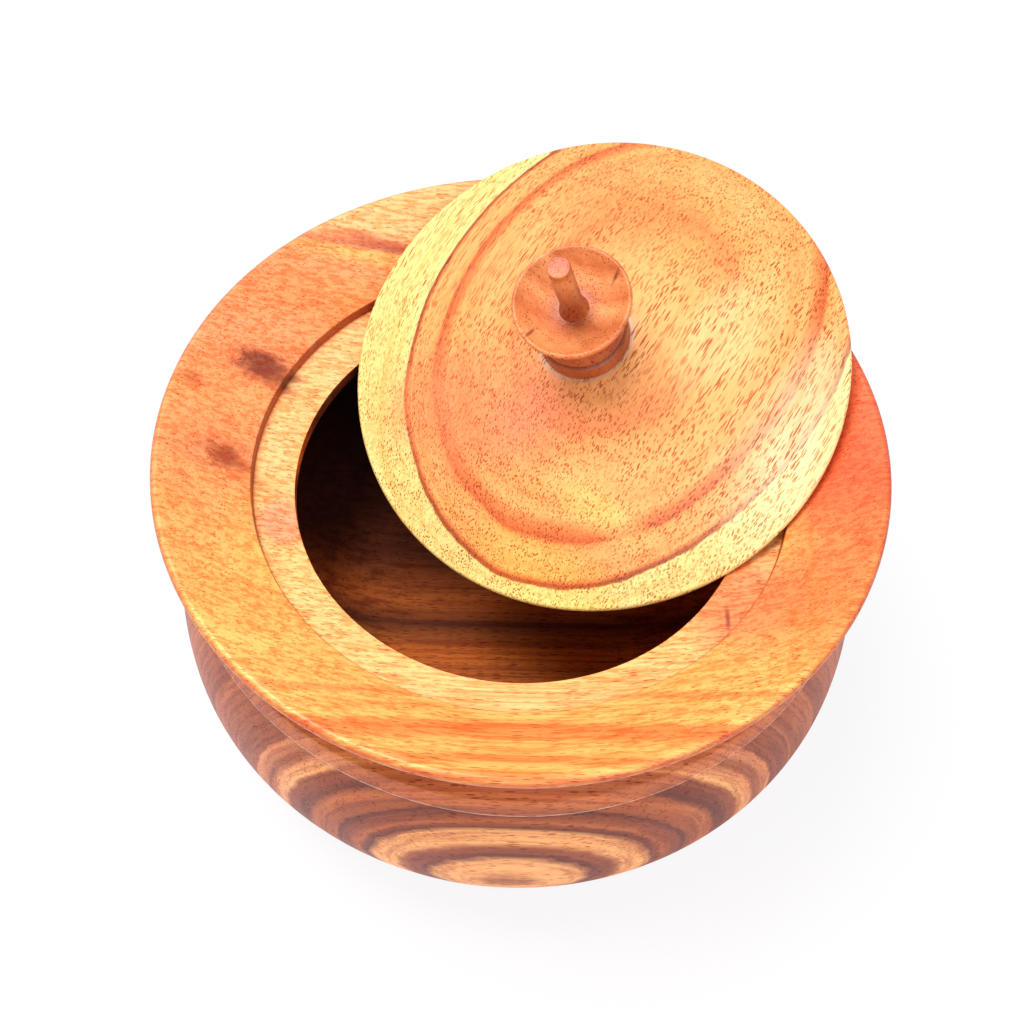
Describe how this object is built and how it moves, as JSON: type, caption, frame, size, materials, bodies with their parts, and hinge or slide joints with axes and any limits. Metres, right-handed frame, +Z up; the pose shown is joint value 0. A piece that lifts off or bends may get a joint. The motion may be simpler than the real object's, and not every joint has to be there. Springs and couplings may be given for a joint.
{
  "type": "lidded wooden bowl",
  "caption": "Turned wooden bowl with a wide dished rim, a recessed seat and a loose domed lid with a turned knob, shown with the lid leaning open.",
  "frame": {"origin": "centre of the foot's flat face, on the bowl's turning axis, on the surface that the bowl stands on", "axes": "+Z up along the bowl's turning axis; -Y towards the side from which the open part of the mouth is seen; the lid leans back towards +X and +Y"},
  "size_m": [0.2016, 0.2016, 0.1722],
  "materials": {
    "bowl_wood": "oiled, satin",
    "lid_wood": "oiled, satin",
    "knob_wood": "oiled, satin"
  },
  "bodies": {
    "bowl": {"bowl": "bowl_wood"},
    "lid": {"lid": "lid_wood", "knob": "knob_wood"}
  },
  "joints": [
    {"name": "lid_lift", "type": "slide", "parent": "bowl", "child": "lid", "axis": [0, 0, 1], "range_m": [0, 0.15]}
  ]
}
